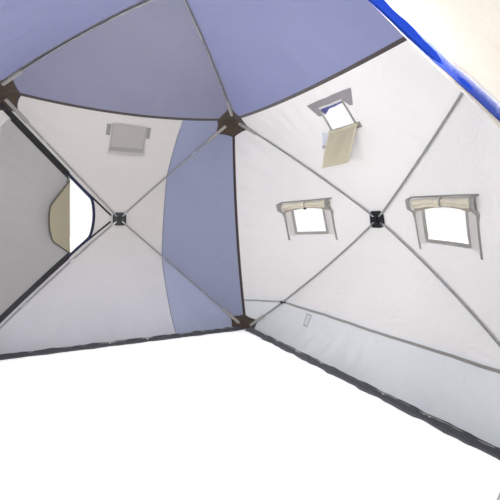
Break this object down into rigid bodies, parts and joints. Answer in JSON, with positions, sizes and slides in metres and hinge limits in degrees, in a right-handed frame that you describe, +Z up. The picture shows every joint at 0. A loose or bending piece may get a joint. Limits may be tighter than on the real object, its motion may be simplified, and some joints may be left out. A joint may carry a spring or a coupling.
{
  "type": "ice fishing shelter",
  "caption": "Pop-up hub shelter for ice fishing: bowed poles on sprung hubs hold a light fabric cabin with a blue roof, zipped doors and covered windows.",
  "frame": {"origin": "centre of the footprint, on the ground", "axes": "+Z up; wall a with the zipped door faces -Y, window wall b faces -X, wall c with the open doorway faces +Y, window wall d faces +X"},
  "size_m": [3.0178, 3.7778, 2.3997],
  "materials": {
    "hub_plastic": "moulded black, satin",
    "hub_cap": "reinforced black patch",
    "pole_rod": "pultruded grey glass fibre",
    "pocket_cloth": "dark brown reinforced weave",
    "wall_cloth": "light coated polyester, fine weave",
    "door_cloth": "grey coated polyester",
    "roof_cloth": "blue coated polyester",
    "skirt_cloth": "dark grey polyester",
    "zip_tape": "black zip tape",
    "slider": "dark enamel",
    "trim_cloth": "cream binding",
    "flap_cloth": "beige coated polyester",
    "roll_cloth": "blue and cream rolled door"
  },
  "bodies": {
    "root": {"pocket_low_ab": "pocket_cloth", "pocket_low_ad": "pocket_cloth", "pocket_low_cd": "pocket_cloth", "pocket_low_bc": "pocket_cloth", "pocket_top_ab": "pocket_cloth", "pocket_top_ad": "pocket_cloth", "pocket_top_cd": "pocket_cloth", "pocket_top_bc": "pocket_cloth", "wall_a": "wall_cloth", "wall_b": "wall_cloth", "wall_c": "wall_cloth", "wall_d": "wall_cloth", "roof_fabric": "roof_cloth", "ground_skirt": "skirt_cloth", "door_roll_c": "roll_cloth", "window_frame_b": "trim_cloth", "window_frame_d": "trim_cloth", "window_roll_b_far": "trim_cloth", "window_roll_b_near": "trim_cloth", "window_roll_d_far": "trim_cloth", "window_roll_d_near": "trim_cloth"},
    "hub_a": {"hub_a": "hub_plastic", "hub_cap_a": "hub_cap"},
    "pole_a_1": {"pole_a_1": "pole_rod"},
    "pole_a_2": {"pole_a_2": "pole_rod"},
    "pole_a_3": {"pole_a_3": "pole_rod"},
    "pole_a_4": {"pole_a_4": "pole_rod"},
    "hub_b": {"hub_b": "hub_plastic", "hub_cap_b": "hub_cap"},
    "pole_b_1": {"pole_b_1": "pole_rod"},
    "pole_b_2": {"pole_b_2": "pole_rod"},
    "pole_b_3": {"pole_b_3": "pole_rod"},
    "pole_b_4": {"pole_b_4": "pole_rod"},
    "hub_c": {"hub_c": "hub_plastic", "hub_cap_c": "hub_cap"},
    "pole_c_1": {"pole_c_1": "pole_rod"},
    "pole_c_2": {"pole_c_2": "pole_rod"},
    "pole_c_3": {"pole_c_3": "pole_rod"},
    "pole_c_4": {"pole_c_4": "pole_rod"},
    "hub_d": {"hub_d": "hub_plastic", "hub_cap_d": "hub_cap"},
    "pole_d_1": {"pole_d_1": "pole_rod"},
    "pole_d_2": {"pole_d_2": "pole_rod"},
    "pole_d_3": {"pole_d_3": "pole_rod"},
    "pole_d_4": {"pole_d_4": "pole_rod"},
    "hub_roof": {"hub_roof": "hub_plastic", "hub_cap_roof": "hub_cap"},
    "pole_roof_1": {"pole_roof_1": "pole_rod"},
    "pole_roof_2": {"pole_roof_2": "pole_rod"},
    "pole_roof_3": {"pole_roof_3": "pole_rod"},
    "pole_roof_4": {"pole_roof_4": "pole_rod"},
    "door_edge": {"door_edge": "zip_tape"},
    "door": {"door_panel": "door_cloth"},
    "door_tip": {"door_tip": "flap_cloth"},
    "slider_upper": {"zip_slider_upper": "slider"},
    "slider_lower": {"zip_slider_lower": "slider"},
    "flap_b": {"window_flap_b": "flap_cloth"},
    "flap_d": {"window_flap_d": "flap_cloth"}
  },
  "joints": [
    {"name": "hub_a_pop", "type": "slide", "parent": "root", "child": "hub_a", "axis": [0, -0.9908, 0.1353], "range_m": [-0.385, 0]},
    {"name": "pole_a_1_swing", "type": "hinge", "parent": "hub_a", "child": "pole_a_1", "pos_m": [-0.02613, -1.81901, 1.10363], "axis": [-0.6653, 0.101, 0.7397], "range_deg": [-0.5, 14.04]},
    {"name": "pole_a_2_swing", "type": "hinge", "parent": "hub_a", "child": "pole_a_2", "pos_m": [0.02613, -1.81901, 1.10363], "axis": [-0.6653, -0.101, -0.7397], "range_deg": [-0.5, 14.04]},
    {"name": "pole_a_3_swing", "type": "hinge", "parent": "hub_a", "child": "pole_a_3", "pos_m": [0.0242, -1.81076, 1.15152], "axis": [0.7224, -0.0936, -0.6852], "range_deg": [-0.5, 16.72]},
    {"name": "pole_a_4_swing", "type": "hinge", "parent": "hub_a", "child": "pole_a_4", "pos_m": [-0.0242, -1.81076, 1.15152], "axis": [0.7224, 0.0936, 0.6852], "range_deg": [-0.5, 16.72]},
    {"name": "hub_b_pop", "type": "slide", "parent": "root", "child": "hub_b", "axis": [-0.9908, 0, 0.1353], "range_m": [-0.385, 0]},
    {"name": "pole_b_1_swing", "type": "hinge", "parent": "hub_b", "child": "pole_b_1", "pos_m": [-1.43981, 0.02895, 1.10739], "axis": [0.1119, 0.562, 0.8195], "range_deg": [-0.5, 11.96]},
    {"name": "pole_b_2_swing", "type": "hinge", "parent": "hub_b", "child": "pole_b_2", "pos_m": [-1.43981, -0.02895, 1.10739], "axis": [-0.1119, 0.562, -0.8195], "range_deg": [-0.5, 11.96]},
    {"name": "pole_b_3_swing", "type": "hinge", "parent": "hub_b", "child": "pole_b_3", "pos_m": [-1.43308, -0.02808, 1.14741], "axis": [-0.1086, -0.5968, -0.795], "range_deg": [-0.5, 13.95]},
    {"name": "pole_b_4_swing", "type": "hinge", "parent": "hub_b", "child": "pole_b_4", "pos_m": [-1.43308, 0.02808, 1.14741], "axis": [0.1086, -0.5968, 0.795], "range_deg": [-0.5, 13.95]},
    {"name": "hub_c_pop", "type": "slide", "parent": "root", "child": "hub_c", "axis": [0, 0.9908, 0.1353], "range_m": [-0.385, 0]},
    {"name": "pole_c_1_swing", "type": "hinge", "parent": "hub_c", "child": "pole_c_1", "pos_m": [0.02613, 1.81901, 1.10363], "axis": [0.6653, -0.101, 0.7397], "range_deg": [-0.5, 14.04]},
    {"name": "pole_c_2_swing", "type": "hinge", "parent": "hub_c", "child": "pole_c_2", "pos_m": [-0.02613, 1.81901, 1.10363], "axis": [0.6653, 0.101, -0.7397], "range_deg": [-0.5, 14.04]},
    {"name": "pole_c_3_swing", "type": "hinge", "parent": "hub_c", "child": "pole_c_3", "pos_m": [-0.0242, 1.81076, 1.15152], "axis": [-0.7224, 0.0936, -0.6852], "range_deg": [-0.5, 16.72]},
    {"name": "pole_c_4_swing", "type": "hinge", "parent": "hub_c", "child": "pole_c_4", "pos_m": [0.0242, 1.81076, 1.15152], "axis": [-0.7224, -0.0936, 0.6852], "range_deg": [-0.5, 16.72]},
    {"name": "hub_d_pop", "type": "slide", "parent": "root", "child": "hub_d", "axis": [0.9908, 0, 0.1353], "range_m": [-0.385, 0]},
    {"name": "pole_d_1_swing", "type": "hinge", "parent": "hub_d", "child": "pole_d_1", "pos_m": [1.43981, -0.02895, 1.10739], "axis": [-0.1119, -0.562, 0.8195], "range_deg": [-0.5, 11.96]},
    {"name": "pole_d_2_swing", "type": "hinge", "parent": "hub_d", "child": "pole_d_2", "pos_m": [1.43981, 0.02895, 1.10739], "axis": [0.1119, -0.562, -0.8195], "range_deg": [-0.5, 11.96]},
    {"name": "pole_d_3_swing", "type": "hinge", "parent": "hub_d", "child": "pole_d_3", "pos_m": [1.43308, 0.02808, 1.14741], "axis": [0.1086, 0.5968, -0.795], "range_deg": [-0.5, 13.95]},
    {"name": "pole_d_4_swing", "type": "hinge", "parent": "hub_d", "child": "pole_d_4", "pos_m": [1.43308, -0.02808, 1.14741], "axis": [-0.1086, 0.5968, 0.795], "range_deg": [-0.5, 13.95]},
    {"name": "hub_roof_pop", "type": "slide", "parent": "root", "child": "hub_roof", "axis": [0, 0, 1], "range_m": [-0.295, 0]},
    {"name": "pole_roof_1_swing", "type": "hinge", "parent": "hub_roof", "child": "pole_roof_1", "pos_m": [-0.0203, -0.02851, 2.32752], "axis": [-0.8146, 0.5801, 0], "range_deg": [-0.5, 11.04]},
    {"name": "pole_roof_2_swing", "type": "hinge", "parent": "hub_roof", "child": "pole_roof_2", "pos_m": [0.0203, -0.02851, 2.32752], "axis": [-0.8146, -0.5801, 0], "range_deg": [-0.5, 11.04]},
    {"name": "pole_roof_3_swing", "type": "hinge", "parent": "hub_roof", "child": "pole_roof_3", "pos_m": [0.0203, 0.02851, 2.32752], "axis": [0.8146, -0.5801, 0], "range_deg": [-0.5, 11.04]},
    {"name": "pole_roof_4_swing", "type": "hinge", "parent": "hub_roof", "child": "pole_roof_4", "pos_m": [-0.0203, 0.02851, 2.32752], "axis": [0.8146, 0.5801, 0], "range_deg": [-0.5, 11.04]},
    {"name": "edge_a_follow", "type": "hinge", "parent": "root", "child": "door_edge", "pos_m": [1.22, -1.6, 0], "axis": [-0.1341, 0.1341, 0.9819], "range_deg": [-20.2, 0.5]},
    {"name": "door_a_swing", "type": "hinge", "parent": "door_edge", "child": "door", "pos_m": [1.22, -1.6, 0], "axis": [-0.1341, 0.1341, 0.9819], "range_deg": [0, 110]},
    {"name": "door_a_tip", "type": "hinge", "parent": "door", "child": "door_tip", "pos_m": [0.44, -1.7785, 0.84214], "axis": [0, -0.2395, -0.9709], "range_deg": [-160, 0]},
    {"name": "door_a_zip_upper", "type": "slide", "parent": "door", "child": "slider_upper", "axis": [0.6568, 0.403, 0.6374], "range_m": [0, 0.3]},
    {"name": "door_a_zip_lower", "type": "slide", "parent": "door", "child": "slider_lower", "axis": [0.7259, 0.1441, -0.6725], "range_m": [0, 0.3]},
    {"name": "flap_b_turn", "type": "hinge", "parent": "root", "child": "flap_b", "pos_m": [-1.082, 0, 1.716], "axis": [0, 1, 0], "range_deg": [-130, 0]},
    {"name": "flap_d_turn", "type": "hinge", "parent": "root", "child": "flap_d", "pos_m": [1.082, 0, 1.716], "axis": [0, -1, 0], "range_deg": [-130, 0]}
  ],
  "couplings": [
    {"joint": "pole_a_1_swing", "follows": "hub_a_pop", "rad_per_m": -0.61379},
    {"joint": "pole_a_2_swing", "follows": "hub_a_pop", "rad_per_m": -0.61379},
    {"joint": "pole_a_3_swing", "follows": "hub_a_pop", "rad_per_m": -0.73518},
    {"joint": "pole_a_4_swing", "follows": "hub_a_pop", "rad_per_m": -0.73518},
    {"joint": "pole_b_1_swing", "follows": "hub_b_pop", "rad_per_m": -0.51948},
    {"joint": "pole_b_2_swing", "follows": "hub_b_pop", "rad_per_m": -0.51948},
    {"joint": "pole_b_3_swing", "follows": "hub_b_pop", "rad_per_m": -0.60972},
    {"joint": "pole_b_4_swing", "follows": "hub_b_pop", "rad_per_m": -0.60972},
    {"joint": "pole_c_1_swing", "follows": "hub_c_pop", "rad_per_m": -0.61379},
    {"joint": "pole_c_2_swing", "follows": "hub_c_pop", "rad_per_m": -0.61379},
    {"joint": "pole_c_3_swing", "follows": "hub_c_pop", "rad_per_m": -0.73518},
    {"joint": "pole_c_4_swing", "follows": "hub_c_pop", "rad_per_m": -0.73518},
    {"joint": "pole_d_1_swing", "follows": "hub_d_pop", "rad_per_m": -0.51948},
    {"joint": "pole_d_2_swing", "follows": "hub_d_pop", "rad_per_m": -0.51948},
    {"joint": "pole_d_3_swing", "follows": "hub_d_pop", "rad_per_m": -0.60972},
    {"joint": "pole_d_4_swing", "follows": "hub_d_pop", "rad_per_m": -0.60972},
    {"joint": "pole_roof_1_swing", "follows": "hub_roof_pop", "rad_per_m": -0.62364},
    {"joint": "pole_roof_2_swing", "follows": "hub_roof_pop", "rad_per_m": -0.62364},
    {"joint": "pole_roof_3_swing", "follows": "hub_roof_pop", "rad_per_m": -0.62364},
    {"joint": "pole_roof_4_swing", "follows": "hub_roof_pop", "rad_per_m": -0.62364},
    {"joint": "edge_a_follow", "follows": "hub_a_pop", "rad_per_m": 0.88853}
  ]
}
